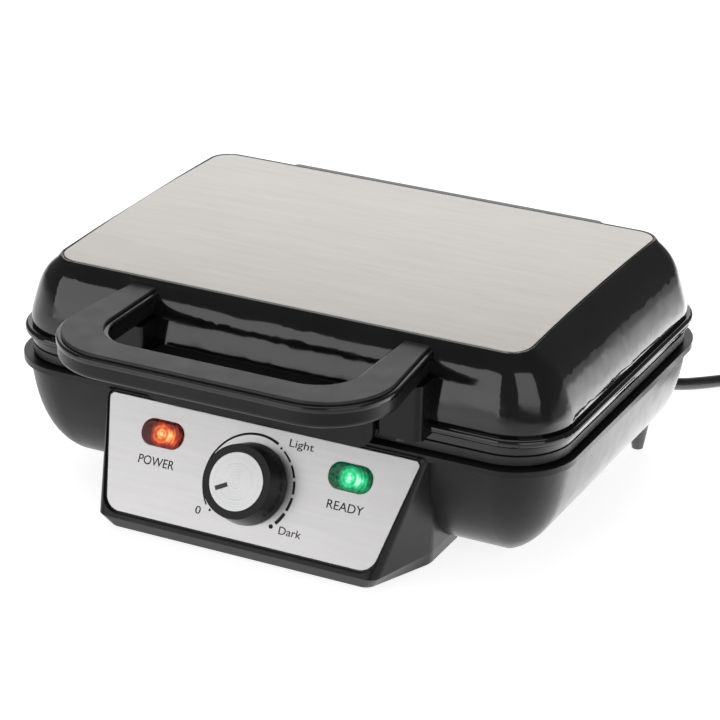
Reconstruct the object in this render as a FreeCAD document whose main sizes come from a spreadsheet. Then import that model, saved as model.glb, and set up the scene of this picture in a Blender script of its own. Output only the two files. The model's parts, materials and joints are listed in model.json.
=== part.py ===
"""Waffle maker for a kitchen worktop: a hinged lid over a base with a browning dial.

Frame: +Z up, +X to the object's right seen from the front, -Y towards the user. The origin is
on the table under the middle of the object. Lengths are millimetres, angles are degrees.
Most sub-parts are drawn in the base's frame, whose Y = 0 is the middle of the base, and the
controls in the panel's frame, whose +Z leaves the sloping steel panel at a right angle.
"""
import FreeCAD, Part
import math
import os
import re
import Sketcher

# Studs in one waffle pocket.
STUDS_ACROSS = 4
STUDS_ALONG = 5

SIZES = {
    # base
    "flange_x": (154, "base flange, middle to side"),
    "flange_y": (108, "base flange, middle to front"),
    "flange_corner": (33, "base flange, corner radius"),
    "flange_level": (63, "base flange, height of its underside"),
    "flange_thick": (3.5, "base flange, thickness"),
    "flange_overhang": (3, "base flange, reach past the bowl"),
    "bowl_level": (9, "bowl, height of its underside"),
    "bowl_taper": (29, "bowl, taper of its wall from the top to the flat bottom"),
    "wall": (2.5, "moulded wall thickness"),
    "fit_gap": (0.15, "windows and bushing, clearance in their holes"),
    "boss_side": (30, "screw bosses, pan's side to the boss"),
    "boss_x": ("=pan_x - boss_side", "screw bosses, middle to boss"),
    "boss_end": (28, "screw bosses, pan's front to the boss"),
    "boss_y": ("=pan_y - boss_end", "screw bosses, base middle to boss"),
    "boss_r": (4.5, "screw bosses, radius"),
    "port_x": (66, "opening behind the controls, middle to side"),
    "port_level": (24, "opening behind the controls, height of its lower edge"),
    "port_height": (32, "opening behind the controls, height"),
    "lip_inset": (4, "base rim, set back from the flange"),
    "lip_height": (4.5, "base rim, height of its visible band"),
    "lip_width": (9, "rims, width of the ring"),
    "seam_gap": (1, "open seam under the base rim and under the lid rim"),
    # lid
    "skirt_height": (4.3, "lid rim, height of the straight skirt"),
    "bead_height": (4.6, "lid rim, height of the bead"),
    "bead_proud": (2.5, "lid rim, reach of the bead past the skirt at the front and back"),
    "bead_side": (4, "lid rim, reach of the bead past the skirt at the sides"),
    "bead_round": (2, "lid rim, edge radius of the bead"),
    "shell_inset": (1, "lid shell, set back from the skirt at the front and back"),
    "shell_side": (0.8, "lid shell, reach past the skirt at the sides"),
    "lid_plate_side": (24, "steel lid plate, set-back from the flange's side"),
    "lid_plate_x": ("=flange_x - lid_plate_side", "steel lid plate, middle to side"),
    "lid_front_set": (19, "steel lid plate, set-back from the flange's front"),
    "lid_plate_front": ("=flange_y - lid_front_set", "steel lid plate, base middle to front edge"),
    "lid_back_set": (22.1, "steel lid plate, set-back from the flange's back"),
    "lid_plate_back": ("=flange_y - lid_back_set", "steel lid plate, base middle to back edge"),
    "lid_plate_corner": (11, "steel lid plate, corner radius"),
    "lid_plate_thick": (1, "steel lid plate, thickness"),
    "lid_plate_gap": (0.8, "open line round the steel lid plate"),
    "lid_border": (1.8, "lid shell, border round the steel plate"),
    "lid_edge_level": (120.6, "steel lid plate, height of its front and back edges"),
    "lid_dome": (2, "steel lid plate, rise from its edges to its middle"),
    # handle
    "handle_out": (72.6, "handle, reach past the flange"),
    "handle_reach": ("=flange_y + handle_out", "handle, base middle to front face"),
    "handle_sunk": (23, "handle, depth of its arms' ends behind the flange's front"),
    "handle_root": ("=flange_y - handle_sunk", "handle, base middle to where its arms end in the lid"),
    "handle_top_level": (117.2, "handle, height of its top face"),
    "handle_cover": (1.6, "handle, thickness of the top cover"),
    "cover_inset": (2.5, "handle, set-back of the top cover"),
    "handle_trim": (3, "handle, thickness of the gloss trim"),
    "handle_body": (8.6, "handle, depth of the lower half"),
    "handle_body_inset": (0.6, "handle, set-back of the lower half"),
    "handle_front_x": (94, "handle, middle to side at the front"),
    "handle_root_x": (84.8, "handle, middle to outer side at the lid"),
    "handle_corner": (37.8, "handle, outer corner radius"),
    "grip_deep": (22.7, "handle, depth of the grip"),
    "grip_back": ("=handle_reach - grip_deep", "handle, base middle to the back of the grip"),
    "grip_x": (66.6, "handle, half the width of the finger opening"),
    "grip_corner": (21, "handle, inner corner radius"),
    "bracket_out": (5.5, "handle bracket, reach past the flange"),
    "bracket_front": ("=flange_y + bracket_out", "handle bracket, base middle to its front face"),
    "bracket_x": (88.5, "handle bracket, middle to its outer side"),
    "bracket_in_x": (65, "handle bracket, middle to its inner side"),
    "bracket_level": (75, "handle bracket, height of its lower end"),
    "apron_x": (64, "handle apron, middle to side"),
    "apron_out": (7.5, "handle apron, reach past the flange"),
    "apron_front": ("=flange_y + apron_out", "handle apron, base middle to its front face"),
    "apron_thick": (3.5, "handle apron, thickness"),
    "apron_level": (66.4, "handle apron, height of its lower edge"),
    "apron_top_level": (92, "handle apron, height of its upper edge"),
    "apron_corner": (10, "handle apron, lower corner radius"),
    # control panel, in its own frame
    "panel_tilt": (61.5, "control panel, slope above the table"),
    "panel_reach": (14.65, "control panel, reach of its middle past the flange"),
    "panel_out": ("=flange_y + panel_reach", "control panel, base middle to the panel's middle"),
    "panel_level": (37.5, "control panel, height of the panel's middle"),
    "panel_height": (58, "steel control panel, height along the slope"),
    "panel_top_x": (87.3, "steel control panel, half-width at the top"),
    "panel_low_x": (74.3, "steel control panel, half-width at the bottom"),
    "panel_top_corner": (2.6, "steel control panel, top corner radius"),
    "panel_low_corner": (9, "steel control panel, bottom corner radius"),
    "panel_thick": (0.8, "steel control panel, thickness"),
    "panel_gap": (1.3, "open line round the steel control panel"),
    "bezel_proud": (1.4, "bezel, height above the steel panel"),
    "window_x": (52.7, "pilot windows, middle to window"),
    "window_up": (13.8, "pilot windows, height above the panel's middle"),
    "window_width": (23.4, "pilot windows, width"),
    "window_height": (13.2, "pilot windows, height"),
    "window_proud": (1.6, "pilot windows, height above the panel"),
    "window_deep": (4, "pilot windows, depth below the panel"),
    "window_edge": (1.2, "pilot windows, edge radius"),
    "lamp_r": (3.5, "pilot lamps, radius"),
    "lamp_long": (14, "pilot lamps, length"),
    "thermostat_wide": (28, "thermostat, width of its case"),
    "thermostat_deep": (20, "thermostat, depth of its case"),
    "bushing_r": (4.5, "thermostat, radius of its bushing"),
    "nut_r": (8, "thermostat nut, radius"),
    "nut_thick": (2.2, "thermostat nut, thickness"),
    "knob_down": (0.7, "knob, distance below the panel's middle"),
    "knob_foot_r": (20.7, "knob, radius at the panel"),
    "knob_top_r": (18.6, "knob, radius at its top"),
    "knob_height": (13.5, "knob, height"),
    "knob_gap": (0.8, "knob, clearance above the panel"),
    "cap_r": (14.6, "knob cap, radius"),
    "cap_thick": (1.2, "knob cap, thickness"),
    "cap_sunk": (0.7, "knob cap, depth sunk in the knob"),
    "pointer_thick": (0.35, "knob pointer, height above the cap"),
    "pointer_long": (6.6, "knob pointer, length"),
    "pointer_wide": (2.2, "knob pointer, width"),
    "pointer_end": (11.6, "knob pointer, middle of the cap to its outer end"),
    "pointer_turn": (208, "knob pointer, direction at rest"),
    "shaft_r": (3, "thermostat shaft, radius"),
    "shaft_clearance": (0.05, "thermostat shaft, running clearance"),
    # control housing
    "housing_level": (2.6, "control housing, height of its underside"),
    "housing_break": (9.4, "control housing, height of the lower front edge"),
    "housing_break_x": (77.4, "control housing, half-width at the lower front edge"),
    "housing_sole_x": (72.5, "control housing, half-width of the underside at the front"),
    "sole_out": (27.5, "control housing, reach of its underside past the flange"),
    "housing_sole_front": ("=flange_y + sole_out", "control housing, base middle to the underside's front"),
    "housing_top_level": (64.6, "control housing, height of its top"),
    "housing_top_x": (90.5, "control housing, half-width at the top"),
    "flare_set": (10, "control housing, flange's front to where its sides run straight"),
    "housing_flare": ("=flange_y - flare_set", "control housing, base middle to its straight sides"),
    "housing_flare_x": (88, "control housing, half-width where its sides run straight"),
    "housing_lean": (3, "control housing, growth of that half-width to the top"),
    "housing_deep": (42, "control housing, flange's front to its back"),
    "housing_back": ("=flange_y - housing_deep", "control housing, base middle to its back"),
    "housing_corner": (6, "control housing, front corner radius"),
    "housing_side_corner": (14, "control housing, side corner radius"),
    # cooking plates
    "plate_side": (16, "cooking plates, set-back from the flange's side"),
    "plate_x": ("=flange_x - plate_side", "cooking plates, middle to side"),
    "plate_end": (17, "cooking plates, set-back from the flange's front"),
    "plate_y": ("=flange_y - plate_end", "cooking plates, middle to front"),
    "plate_corner": (24, "cooking plates, corner radius"),
    "plate_parting": (72, "cooking plates, height of the lower plate's rim"),
    "plate_step": (3, "cooking plates, step from the rim to the body below"),
    "plate_gap": (0.5, "cooking plates, gap between the two rims when shut"),
    "plate_floor": (3, "cooking plates, thickness of the floor"),
    "pocket_depth": (12, "waffle pockets, depth below the rim"),
    "pocket_middle": (6, "waffle pockets, base middle to the pocket"),
    "pocket_side": (12, "waffle pockets, plate's side to the pocket"),
    "pocket_x": ("=(plate_x - pocket_side - pocket_middle) / 2", "waffle pockets, half-width of one pocket"),
    "pocket_end": (11, "waffle pockets, plate's front to the pocket"),
    "pocket_y": ("=plate_y - pocket_end", "waffle pockets, half-depth of one pocket"),
    "pocket_centre": ("=pocket_x + pocket_middle", "waffle pockets, base middle to the pocket's middle"),
    "pocket_corner": (10, "waffle pockets, corner radius"),
    "stud_foot": (17, "waffle studs, width at the foot"),
    "stud_top": (13, "waffle studs, width at the top"),
    "stud_height": (9, "waffle studs, height"),
    "stud_margin_x": (8, "waffle studs, pocket's width less the pattern's"),
    "stud_pitch_x": ("=(2 * pocket_x - stud_margin_x) / %d" % STUDS_ACROSS, "waffle studs, pitch across"),
    "stud_margin_y": (10, "waffle studs, pocket's depth less the pattern's"),
    "stud_pitch_y": ("=(2 * pocket_y - stud_margin_y) / %d" % STUDS_ALONG,
                     "waffle studs, pitch front to back"),
    # heating
    "heater_r": (3.2, "heating elements, tube radius"),
    "heater_bend": (56, "heating elements, pan's side to the start of the bend"),
    "heater_x": ("=pan_x - heater_bend", "heating elements, middle to the start of the bend"),
    "heater_end": (32, "heating elements, pan's front to the straight run"),
    "heater_y": ("=pan_y - heater_end", "heating elements, middle to each straight run"),
    "heater_tail": (28, "heating elements, pan's side to the end of each run"),
    "heater_lead": ("=pan_x - heater_tail", "heating elements, middle to the end of each run"),
    "terminal_x": (70, "terminal block, middle to its left side"),
    "terminal_y": (20, "terminal block, base middle to its front"),
    "terminal_long": (30, "terminal block, length"),
    "terminal_wide": (18, "terminal block, width"),
    "terminal_high": (14, "terminal block, height"),
    "fuse_r": (2.5, "thermal fuse, radius"),
    "fuse_long": (22, "thermal fuse, length"),
    "pan_side": (12, "reflectors, set-back from the plate's side"),
    "pan_x": ("=plate_x - pan_side", "reflectors, middle to side"),
    "pan_end": (11, "reflectors, set-back from the plate's front"),
    "pan_y": ("=plate_y - pan_end", "reflectors, middle to front"),
    "pan_depth": (9, "reflectors, depth of the pan"),
    "pan_thick": (0.8, "reflectors, sheet thickness"),
    # hinge
    "hinge_reach": (5, "hinge, reach of its axis past the flange"),
    "hinge_out": ("=flange_y + hinge_reach", "hinge, base middle to the axis"),
    "hinge_level": (75, "hinge, height of the axis"),
    "hinge_x": (72, "hinge, middle to each knuckle"),
    "knuckle_long": (20, "hinge knuckles, length"),
    "knuckle_r": (5.5, "hinge knuckles and ears, outer radius"),
    "ear_thick": (5, "hinge ears, thickness"),
    "ear_gap": (0.4, "hinge ears, gap to the knuckle"),
    "pin_r": (2.5, "hinge pins, radius"),
    "pin_clearance": (0.05, "hinge pins, running clearance"),
    "cover_x": (94, "rear cover, middle to side"),
    "cover_top_level": (116, "rear cover, height of its top"),
    "cover_low_level": (92, "rear cover, height of its lower edge"),
    "cover_edge": (4, "rear cover, radius of its top edge"),
    "arm_gap": (1.2, "hinge knuckles, gap over the base rim"),
    "hinge_web_gap": (1.5, "hinge brackets, gap under the knuckle"),
    "hinge_drop": (9, "hinge brackets, reach below the flange"),
    "cover_set": (4, "rear cover, set-back from the flange's back"),
    "cover_back": ("=flange_y - cover_set", "rear cover, base middle to its back"),
    # feet and fasteners
    "foot_side": (27, "rear feet, set-back from the flange's side"),
    "rear_foot_x": ("=flange_x - foot_side", "rear feet, middle to foot"),
    "foot_end": (29, "rear feet, set-back from the flange's back"),
    "rear_foot_y": ("=flange_y - foot_end", "rear feet, base middle to foot"),
    "foot_tip_r": (3, "rear feet, radius at the table"),
    "foot_root_r": (6.5, "rear feet, radius at the top"),
    "foot_root_level": (20, "rear feet, height where they end inside the bowl's curve"),
    "front_foot_x": (62, "front feet, middle to foot"),
    "front_foot_out": (4, "front feet, reach past the flange"),
    "front_foot_y": ("=flange_y + front_foot_out", "front feet, base middle to foot"),
    "front_foot_r": (8, "front feet, radius"),
    "screw_r": (1.9, "screws, shank radius"),
    "screw_x": (76.5, "handle screws, middle to screw"),
    "screw_reach": (1.6, "handle screws, reach past the flange"),
    "screw_out": ("=flange_y + screw_reach", "handle screws, base middle to screw"),
    "screw_long": (34, "handle screws, shank length"),
    "screw_head_r": (3.4, "screws, head radius"),
    "screw_head": (1.8, "screws, head height"),
    # cord
    "gland_x": (100, "cord gland, middle to gland"),
    "gland_level": (20, "cord gland, height"),
    "gland_root_r": (7.5, "cord gland, radius at the base"),
    "gland_tip_r": (4.6, "cord gland, radius at its tip"),
    "gland_deep": (28, "cord gland, flange's back to its hidden end"),
    "gland_start": ("=flange_y - gland_deep", "cord gland, base middle to its hidden end"),
    "gland_out": (7, "cord gland, reach of its tip past the flange"),
    "gland_tip": ("=flange_y + gland_out", "cord gland, base middle to its tip"),
    "cord_r": (3.5, "mains cord, radius"),
    "coil_in_r": (31, "put-away coil, inner radius"),
    "coil_out_r": (46, "put-away coil, outer radius"),
    "coil_height": (14, "put-away coil, height"),
    "tie_wide": (9, "cord tie, width"),
    "tie_thick": (1, "cord tie, thickness"),
    "plug_r": (17, "plug, radius at its face"),
    "plug_neck_r": (9, "plug, radius at the cord"),
    "plug_long": (40, "plug, length of its body"),
    "plug_pin_r": (2.4, "plug pins, radius"),
    "plug_pin_long": (19, "plug pins, length"),
    "plug_pin_pitch": (19, "plug pins, distance apart"),
}

# The object's front is the handle and its back is the hinge ears: this puts Y = 0 between them.
MIDDLE = "(handle_reach - hinge_out - knuckle_r) / 2"
BOWL_X = "(flange_x - flange_overhang)"
BOWL_Y = "(flange_y - flange_overhang)"
BOWL_CORNER = "(flange_corner - 2)"
LIP_X = "(flange_x - lip_inset)"
LIP_Y = "(flange_y - lip_inset - 1)"
LIP_CORNER = "(flange_corner - 3)"
FLANGE_TOP = "(flange_level + flange_thick)"
LIP_TOP = "(flange_level + flange_thick + seam_gap + lip_height)"
SKIRT_LEVEL = "(flange_level + flange_thick + 2 * seam_gap + lip_height)"
BEAD_LEVEL = "(%s + skirt_height)" % SKIRT_LEVEL
SHELL_LEVEL = "(%s + skirt_height + bead_height)" % SKIRT_LEVEL
COVER_LEVEL = "(handle_top_level - handle_cover)"
TRIM_LEVEL = "(handle_top_level - handle_cover - handle_trim)"
HANDLE_LEVEL = "(handle_top_level - handle_cover - handle_trim - handle_body)"
UPPER_RIM = "(plate_parting + plate_gap)"
EAR_FOOT = "(flange_level - hinge_drop)"
PLATE_DEEP = "(pocket_depth + plate_floor)"
PLATE_RIM = "(plate_parting - %s)" % FLANGE_TOP
LOWER_BACK = "(plate_parting - %s)" % PLATE_DEEP
UPPER_BACK = "(%s + %s)" % (UPPER_RIM, PLATE_DEEP)

# Shares of the bowl's height and of its taper, from the flat bottom up: a wall that steepens.
BOWL_PROFILE = ((0, 1), (0.07, 0.78), (0.20, 0.51), (0.40, 0.267), (0.60, 0.13), (0.80, 0.05), (1, 0))

# Shares of the lid shell's height and of its taper: a wall that leans in more and more.
LID_PROFILE = ((0, 0), (0.28, 0.08), (0.55, 0.27), (0.80, 0.58), (1, 1))

TILT_SIN = "sin(panel_tilt)"
TILT_COS = "cos(panel_tilt)"

document = FreeCAD.newDocument("WaffleMaker")
Vector = FreeCAD.Vector

sheet = document.addObject("Spreadsheet::Sheet", "Sizes")
for row, (alias, (size, note)) in enumerate(SIZES.items(), start=1):
    sheet.set("A%d" % row, note)
    sheet.set("B%d" % row, str(size))
    sheet.setAlias("B%d" % row, alias)
document.recompute()

nodes = []


def bound(text):
    """The expression with each size's alias written as a cell of the sheet."""
    return re.sub(r"[a-z]\w*", lambda m: "Sizes." + m[0] if m[0] in SIZES else m[0], str(text))


def number(text):
    """The expression's value now."""
    return float(sheet.evalExpression(bound(text)))


def bind(item, **sizes):
    """Binds properties to expressions over the sheet."""
    for name, text in sizes.items():
        item.setExpression(name, bound(text))
    return item


def move(item, x=0, y=0, z=0, turn=0, axis=(0, 0, 1)):
    """Binds a placement to expressions over the sheet."""
    item.Placement = FreeCAD.Placement(Vector(0, 0, 0), FreeCAD.Rotation(Vector(*axis), number(turn)))
    if turn:
        item.setExpression("Placement.Rotation.Angle", "(%s) * 1 deg" % bound(turn))
    for name, text in (("x", x), ("y", y), ("z", z)):
        item.setExpression("Placement.Base." + name, bound(text))
    return item


def node(item, label, panel_frame=False):
    """Names a finished sub-part and puts its frame where it belongs in the object."""
    item.Label = label
    if panel_frame:
        move(item, 0, "%s - panel_out" % MIDDLE, "panel_level", "panel_tilt", (1, 0, 0))
    else:
        move(item, 0, MIDDLE, 0)
    nodes.append(item)
    return item


def box(name, x, y, z, low=(0, 0, 0)):
    """A box of the given lengths from its lowest corner."""
    item = bind(document.addObject("Part::Box", name), Length=x, Width=y, Height=z)
    return move(item, *low)


def rod(name, radius, length, at=(0, 0, 0), axis=None):
    """A cylinder along Z, or along X or Y."""
    item = bind(document.addObject("Part::Cylinder", name), Radius=radius, Height=length)
    if axis == "x":
        return move(item, *at, turn=90, axis=(0, 1, 0))
    if axis == "y":
        return move(item, *at, turn=-90, axis=(1, 0, 0))
    return move(item, *at)


def cone(name, low_radius, high_radius, height, at=(0, 0, 0), axis=None):
    """A truncated cone along Z or along Y."""
    item = document.addObject("Part::Cone", name)
    bind(item, Radius1=low_radius, Radius2=high_radius, Height=height)
    if axis == "y":
        return move(item, *at, turn=-90, axis=(1, 0, 0))
    return move(item, *at)


def cut(name, base, tool):
    """The base with the tool's space taken out."""
    item = document.addObject("Part::Cut", name)
    item.Base = base
    item.Tool = tool
    return item


def common(name, base, tool):
    """The space that both share."""
    item = document.addObject("Part::Common", name)
    item.Base = base
    item.Tool = tool
    return item


def fuse(name, pieces):
    """One solid from several."""
    item = document.addObject("Part::MultiFuse", name)
    item.Shapes = pieces
    return item


def group(name, pieces):
    """Several separate solids in one sub-part."""
    item = document.addObject("Part::Compound", name)
    item.Links = pieces
    return item


def mirrored(name, source):
    """The piece on the object's other side."""
    item = document.addObject("Part::Mirroring", name)
    item.Source = source
    item.Normal = Vector(1, 0, 0)
    item.Base = Vector(0, 0, 0)
    return item


def both_sides(name, piece):
    """A piece and its mirror image as one sub-part of two solids."""
    return group(name, [piece, mirrored(name + "Mirror", piece)])


def body(name):
    return document.addObject("PartDesign::Body", name)


def sketch(owner, name, z=0, plane="XY_Plane"):
    """An empty sketch on a plane of its own body, lifted along the plane's normal."""
    item = owner.newObject("Sketcher::SketchObject", name)
    support = [feature for feature in owner.Origin.OriginFeatures if feature.Role == plane][0]
    item.AttachmentSupport = [(support, "")]
    item.MapMode = "FlatFace"
    item.setExpression("AttachmentOffset.Base.z", bound(z))
    return item


def corner_points(before, corner, after, radius):
    """Where a corner's arc starts and ends, and its centre."""
    back = (before - corner).normalize()
    on = (after - corner).normalize()
    half = back.getAngle(on) / 2
    reach = radius / math.tan(half)
    middle = (back + on).normalize() * (radius / math.sin(half))
    return corner + back * reach, corner + on * reach, corner + middle


def outline(item, corners):
    """Draws a closed outline, counter-clockwise, from corners (x, y, radius) bound to the sheet."""
    count = len(corners)
    points = [Vector(number(x), number(y), 0) for x, y, radius in corners]
    bends = []
    for i, (x, y, radius) in enumerate(corners):
        if radius:
            after = points[(i + 1) % count]
            bends.append(corner_points(points[i - 1], points[i], after, number(radius)))
        else:
            bends.append((points[i], points[i], None))
    for i in range(count):
        item.addGeometry(Part.LineSegment(bends[i][1], bends[(i + 1) % count][0]))
    for i, (x, y, radius) in enumerate(corners):
        if radius:
            vertex = round_corner(item, bends[i], points[i], (i - 1) % count, i, radius)
        else:
            item.addConstraint(Sketcher.Constraint("Coincident", (i - 1) % count, 2, i, 1))
            vertex = i
        for kind, text, size in (("DistanceX", x, points[i].x), ("DistanceY", y, points[i].y)):
            index = item.addConstraint(Sketcher.Constraint(kind, -1, 1, vertex, 1, size))
            item.setExpression("Constraints[%d]" % index, bound(text))


def round_corner(item, bend, point, line_in, line_out, radius):
    """Draws one corner's arc and its construction point, and returns the point's number."""
    start, end, centre = bend
    size = number(radius)
    turn = (point - start).cross(end - point).z
    first, last = (start, end) if turn > 0 else (end, start)
    angles = [math.atan2(p.y - centre.y, p.x - centre.x) for p in (first, last)]
    circle = Part.Circle(centre, Vector(0, 0, 1), size)
    arc = item.addGeometry(Part.ArcOfCircle(circle, angles[0], angles[1]))
    start_end, last_end = (1, 2) if turn > 0 else (2, 1)
    vertex = item.addGeometry(Part.Point(point), True)
    item.addConstraint(Sketcher.Constraint("Tangent", line_in, 2, arc, start_end))
    item.addConstraint(Sketcher.Constraint("Tangent", arc, last_end, line_out, 1))
    index = item.addConstraint(Sketcher.Constraint("Radius", arc, size))
    item.setExpression("Constraints[%d]" % index, bound(radius))
    item.addConstraint(Sketcher.Constraint("PointOnObject", vertex, 1, line_in))
    item.addConstraint(Sketcher.Constraint("PointOnObject", vertex, 1, line_out))
    return vertex


def rounded(x, y, radius, front=None):
    """Corners of a rounded rectangle reaching x to each side, y back and front forward."""
    front = y if front is None else front
    left, low = "-(%s)" % x, "-(%s)" % front
    return [(left, low, radius), (x, low, radius), (x, y, radius), (left, y, radius)]


def slab(name, corners, low, high, plane="XY_Plane"):
    """A flat-sided block of one outline between two heights."""
    owner = body(name)
    profile = sketch(owner, name + "Outline", low, plane)
    outline(profile, corners)
    pad = owner.newObject("PartDesign::Pad", name + "Pad")
    pad.Profile = profile
    bind(pad, Length="(%s) - (%s)" % (high, low))
    return owner


def stack(name, sections, ruled=False):
    """A solid through several outlines, each (height, corners)."""
    owner = body(name)
    profiles = []
    for count, (level, corners) in enumerate(sections):
        profile = sketch(owner, "%sOutline%d" % (name, count), level)
        outline(profile, corners)
        profiles.append(profile)
    loft = owner.newObject("PartDesign::AdditiveLoft", name + "Loft")
    loft.Profile = profiles[0]
    loft.Sections = profiles[1:]
    loft.Ruled = ruled
    return owner


def rounded_edges(name, source, radius, chosen):
    """The piece with the chosen edges rounded."""
    document.recompute()
    size = number(radius)
    picked = [i for i, edge in enumerate(source.Shape.Edges, start=1) if chosen(edge)]
    item = document.addObject("Part::Fillet", name)
    item.Base = source
    item.Edges = [(i, size, size) for i in picked]
    return item


# ---------------------------------------------------------------- base

def bowl(name, shrink, level_up):
    """The bowl's form, taken in by shrink on every side and raised by level_up at the bottom."""
    low = "(bowl_level + %s)" % level_up
    sections = []
    for height, lean in BOWL_PROFILE:
        inset = "bowl_taper * %s" % lean
        x = "%s - %s - %s" % (BOWL_X, inset, shrink)
        y = "%s - %s - %s" % (BOWL_Y, inset, shrink)
        corner = "%s - %s - %s / 3" % (BOWL_CORNER, inset, shrink)
        sections.append(("%s + (flange_level - %s) * %s" % (low, low, height), rounded(x, y, corner)))
    return stack(name, sections)


flange = slab("Flange", rounded("flange_x", "flange_y", "flange_corner"), "flange_level", FLANGE_TOP)
base_form = fuse("BaseForm", [bowl("BowlForm", "0", "0"), flange])


def screw_places():
    """Left and right, front and back."""
    return [(x, y) for x in ("-boss_x", "boss_x") for y in ("-boss_y", "boss_y")]


def base_shell():
    space = bowl("BowlSpace", "wall", "wall")
    hole = slab(
        "FlangeHole",
        rounded("plate_x - plate_step", "plate_y - plate_step", "plate_corner - plate_step"),
        "flange_level - wall", FLANGE_TOP + " + wall")
    hollow = cut("BaseHollow", base_form, fuse("BaseSpace", [space, hole]))
    bosses = [rod("Boss", "boss_r", "%s - pan_depth - bowl_level - 1" % LOWER_BACK, (x, y, "bowl_level + 1"))
              for x, y in screw_places()]
    bores = [rod("BossBore", "screw_r", "pan_depth * 8", (x, y, "0")) for x, y in screw_places()]
    port = box("ControlPort", "2 * port_x", "flange_overhang + bowl_taper", "port_height", (
        "-port_x", "-flange_y", "port_level"))
    bossed = fuse("BaseBossed", [hollow] + bosses)
    node(cut("BaseShell", bossed, fuse("BaseBores", bores + [port])), "base_shell")


def ring(name, outer, inner, low, high):
    """A flat ring between two outlines."""
    hole = slab(name + "Hole", inner, "(%s) - 1" % low, "(%s) + 1" % high)
    return cut(name, slab(name + "Block", outer, low, high), hole)


LIP_HOLE = rounded("%s - lip_width" % LIP_X, "%s - lip_width" % LIP_Y, "%s - lip_width / 2" % LIP_CORNER)


def base_rim():
    neck_x, neck_y = "%s - 2 * seam_gap" % LIP_X, "%s - 2 * seam_gap" % LIP_Y
    neck_outline = rounded(neck_x, neck_y, LIP_CORNER)
    neck = ring("RimNeck", neck_outline, LIP_HOLE, FLANGE_TOP, FLANGE_TOP + " + seam_gap")
    band = ring("RimBand", rounded(LIP_X, LIP_Y, LIP_CORNER), LIP_HOLE, FLANGE_TOP + " + seam_gap", LIP_TOP)
    node(fuse("BaseRim", [neck, band]), "base_rim")


# ---------------------------------------------------------------- control housing and panel

def panel_line(level, out):
    """Y of the panel's plane at a height, moved out of the object by a distance."""
    return "(-panel_out + (%s - panel_level) * %s / %s - (%s) / %s)" % (
        level, TILT_COS, TILT_SIN, out, TILT_SIN)


def housing_outline(front_x, front_y, side_x, shrink, back):
    """Six corners: the front, where the sides turn straight, and the back."""
    front_r = "housing_corner - %s / 2" % shrink
    side_r = "housing_side_corner"
    x = "%s - %s" % (front_x, shrink)
    side = "%s - %s" % (side_x, shrink)
    flare = "-housing_flare"
    return [
        ("-(%s)" % x, front_y, front_r), (x, front_y, front_r), (side, flare, side_r),
        (side, back, 0), ("-(%s)" % side, back, 0), ("-(%s)" % side, flare, side_r)]


def leaning(item):
    """Puts a tool drawn in the panel's frame into the base's frame."""
    return move(item, 0, "-panel_out", "panel_level", "panel_tilt", (1, 0, 0))


def panel_outline(grow):
    """The steel panel's outline, grown by a distance."""
    low, high = "-panel_height / 2 - (%s)" % grow, "panel_height / 2 + (%s)" % grow
    low_x, top_x = "panel_low_x + (%s)" % grow, "panel_top_x + (%s)" % grow
    low_r, top_r = "panel_low_corner + (%s)" % grow, "panel_top_corner + (%s)" % grow
    return [
        ("-(%s)" % low_x, low, low_r), (low_x, low, low_r),
        (top_x, high, top_r), ("-(%s)" % top_x, high, top_r)]


def window_outline(side, grow):
    """One pilot window's outline, side -1 or 1, grown by a distance."""
    x, y = "(%d) * window_x" % side, "window_up"
    half_x, half_y = "(window_width / 2 + %s)" % grow, "(window_height / 2 + %s)" % grow
    left, right = "%s - %s" % (x, half_x), "%s + %s" % (x, half_x)
    low, high = "%s - %s" % (y, half_y), "%s + %s" % (y, half_y)
    radius = "window_height / 2 - 0.4"
    return [(left, low, radius), (right, low, radius), (right, high, radius), (left, high, radius)]


def panel_tools(name):
    """Holes for the windows and for the thermostat's bushing, through everything near the panel."""
    holes = [slab("%sHole%d" % (name, side), window_outline(side, "fit_gap"), "-4 * wall", "4 * wall")
             for side in (-1, 1)]
    holes.append(rod(name + "BushingHole", "bushing_r + fit_gap", "8 * wall", (0, "-knob_down", "-4 * wall")))
    return fuse(name + "Tools", holes)


def control_housing():
    top, lip = "housing_top_level", "bezel_proud"
    form = stack("HousingForm", [
        ("housing_level", housing_outline(
            "housing_sole_x", "-housing_sole_front", "housing_flare_x", "0", "-housing_back")),
        ("housing_break", housing_outline(
            "housing_break_x", panel_line("housing_break", lip), "housing_flare_x + 1", "0",
            "-housing_back")),
        (top, housing_outline(
            "housing_top_x", panel_line(top, lip), "housing_flare_x + housing_lean", "0", "-housing_back")),
    ], ruled=True)
    inside = "-panel_thick - wall"
    low, mid, high = "housing_level + wall", "housing_break + wall", "housing_top_level - wall"
    back = "-housing_back + wall"
    space = stack("HousingSpace", [
        (low, housing_outline(
            "housing_sole_x", "-housing_sole_front + 3 * wall", "housing_flare_x", "wall", back)),
        (mid, housing_outline(
            "housing_break_x", panel_line(mid, inside), "housing_flare_x", "wall", back)),
        (high, housing_outline(
            "housing_top_x", panel_line(high, inside), "housing_flare_x + housing_lean", "wall", back)),
    ], ruled=True)
    recess = leaning(slab(
        "PanelRecess", panel_outline("panel_gap"), "-panel_thick", "panel_thick + 4 * wall"))
    tools = leaning(panel_tools("Housing"))
    solid = cut("HousingSolid", form, base_form)
    node(cut("Housing", solid, fuse("HousingTools", [space, recess, tools])), "control_housing")


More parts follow.
